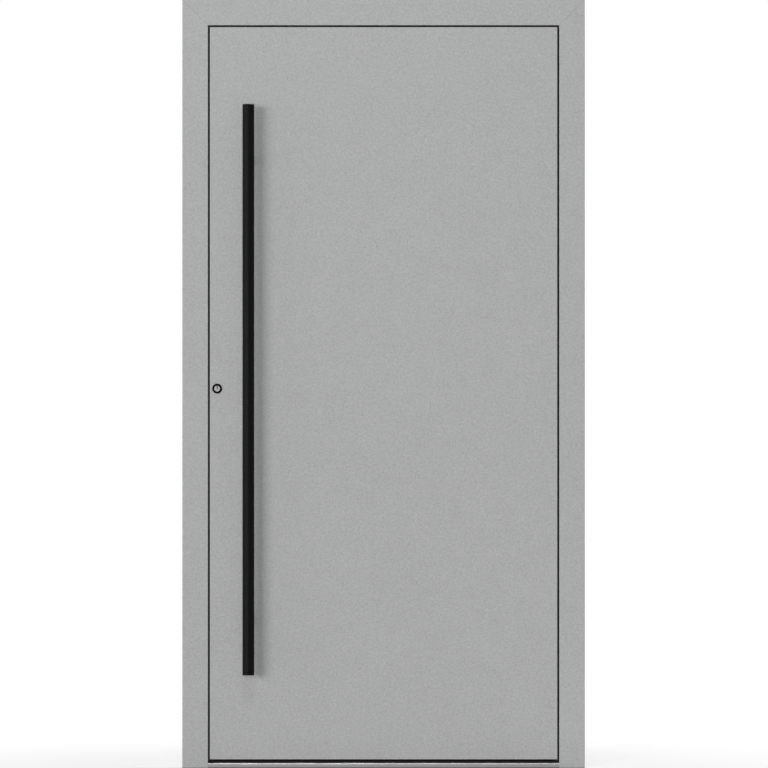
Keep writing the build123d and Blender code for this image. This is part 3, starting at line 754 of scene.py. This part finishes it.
def make_hinge_screws(finishes):
    """Four screws in each frame plate of a hinge, and two in each leaf plate."""
    head = screw_head(HINGE_SCREW, HINGE_SCREW_DOME, HINGE_SCREW_RECESS, star)
    plate_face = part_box("head_inner_shell")[1].y + HINGE_PLATE
    frame_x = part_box("hinge_frame_plates")[1].x - HINGE_SCREW_INSET
    leaf_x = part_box("hinge_leaf_plates")[0].x + HINGE_SCREW_INSET
    frame_places = []
    for low, high in stretches("hinge_frame_plates"):
        middle = (low + high) / 2
        reach = (high - low) / 2 - HINGE_SCREW_FROM_END
        for share in (-1, -1 / 3, 1 / 3, 1):
            frame_places.append((frame_x, plate_face, middle + share * reach))
    leaf_places = []
    for low, high in stretches("hinge_leaf_plates"):
        for height in (low + HINGE_SCREW_FROM_END, high - HINGE_SCREW_FROM_END):
            leaf_places.append((leaf_x, plate_face, height))
    inwards = (0, 1, 0)
    frame_screws = [(frame_places, inwards, head)]
    leaf_screws = [(leaf_places, inwards, head)]
    make_piece("hinge_frame_screws", frame_screws, "frame", "lock_steel", finishes)
    make_piece("hinge_leaf_screws", leaf_screws, "leaf", "lock_steel", finishes)


def make_lock_screws(finishes):
    """Screws of the strike plates, of the lock's faceplate, and the one that holds the cylinder."""
    head = screw_head(LOCK_SCREW, LOCK_SCREW_DOME, LOCK_SCREW_RECESS, cross)
    strike_low, strike_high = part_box("strike_plates")
    middle_y = (strike_low.y + strike_high.y) / 2
    places = []
    for low, high in stretches("strike_plates"):
        for height in (low + STRIKE_SCREW_FROM_END, high - STRIKE_SCREW_FROM_END):
            places.append((strike_high.x, middle_y, height))
    make_piece("strike_screws", [(places, (1, 0, 0), head)], "frame", "lock_steel", finishes)
    plate_low, plate_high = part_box("lock_faceplate")
    cylinder_low, cylinder_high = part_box("cylinder_ring")
    bolt_heights = [sum(span) / 2 for span in stretches("hook_bolts")]
    heights = [plate_low.z + FACEPLATE_SCREW_FROM_END, plate_high.z - FACEPLATE_SCREW_FROM_END]
    for height in bolt_heights:
        heights += [height - HOOK_SCREW_REACH, height + HOOK_SCREW_REACH]
    heights.append(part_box("dead_bolt")[0].z - BOLT_SCREW_GAP)
    heights.append(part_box("latch_bolt")[1].z + BOLT_SCREW_GAP)
    heights.append((cylinder_low.z + cylinder_high.z) / 2)
    places = [(plate_low.x, middle_y, height) for height in heights]
    make_piece("faceplate_screws", [(places, (-1, 0, 0), head)], "leaf", "lock_steel", finishes)


def make_frame_caps(finishes):
    """Moulded caps over the frame screws, in the rebate of both jambs."""
    cap = cover_cap(FRAME_CAP, FRAME_CAP_HEIGHT)
    faces = {-1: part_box("lock_jamb_inner_shell")[1].x, 1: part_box("hinge_jamb_inner_shell")[0].x}
    groups = []
    for mount in frame["record"]["mounts"]:
        if mount["kind"] == "bolt_pattern":
            side = round(mount["axis"][0])
            half = mount["dims"]["spacing_y_mm"] * MM / 2
            x, y, z = mount["pos_m"]
            places = [(faces[side], y, z - half), (faces[side], y, z + half)]
            groups.append((places, (-side, 0, 0), cap))
    make_piece("frame_screw_caps", groups, "frame", "isolator", finishes)


def make_grub_screws(finishes):
    """Set screws under both supports of the pull bar and under the lever's neck."""
    screw = grub_screw(GRUB_SCREW, GRUB_SCREW_PROUD, GRUB_SCREW_SOCKET)
    support_low, support_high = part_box("pull_bar_standoffs")
    post_x = (support_low.x + support_high.x) / 2
    places = []
    for low, high in stretches("pull_bar_standoffs"):
        post_under = (low + high) / 2 - SUPPORT_RADIUS
        places.append((post_x, face_y - GRUB_SCREW_FROM_FACE, post_under))
    lever_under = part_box("lever_handle")[0].z
    rose_low, rose_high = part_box("lever_rose")
    neck = ((rose_low.x + rose_high.x) / 2, rose_high.y + NECK_SCREW_FROM_ROSE, lever_under)
    down = (0, 0, -1)
    groups = [(places, down, screw), ([neck], down, screw)]
    make_piece("grub_screws", groups, "leaf", "lock_steel", finishes)


def make_lock_pins(finishes):
    """Tips of the tumbler pins that show in the keyway."""
    low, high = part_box("cylinder_plug")
    middle = (low + high) / 2
    pin = lock_pin(PIN_RADIUS, PIN_LENGTH)
    floor_z = high.z - KEYWAY_HEIGHT
    places = [
        (middle.x, low.y + PIN_PITCH * (number + 1), floor_z) for number in range(PIN_COUNT)
    ]
    make_piece("keyway_pins", [(places, (0, 0, 1), pin)], "key_plug", "cylinder_nickel", finishes)


def main():
    """Sets the stage, dresses the door's pieces and adds the small hardware."""
    make_camera()
    make_lights()
    make_world()
    make_floor()
    finishes = {name: maker() for name, maker in MAKERS.items()}
    dress_nodes(finishes)
    make_hinge_screws(finishes)
    make_lock_screws(finishes)
    make_frame_caps(finishes)
    make_grub_screws(finishes)
    make_lock_pins(finishes)
    bpy.context.scene.view_settings.view_transform = "Standard"


main()
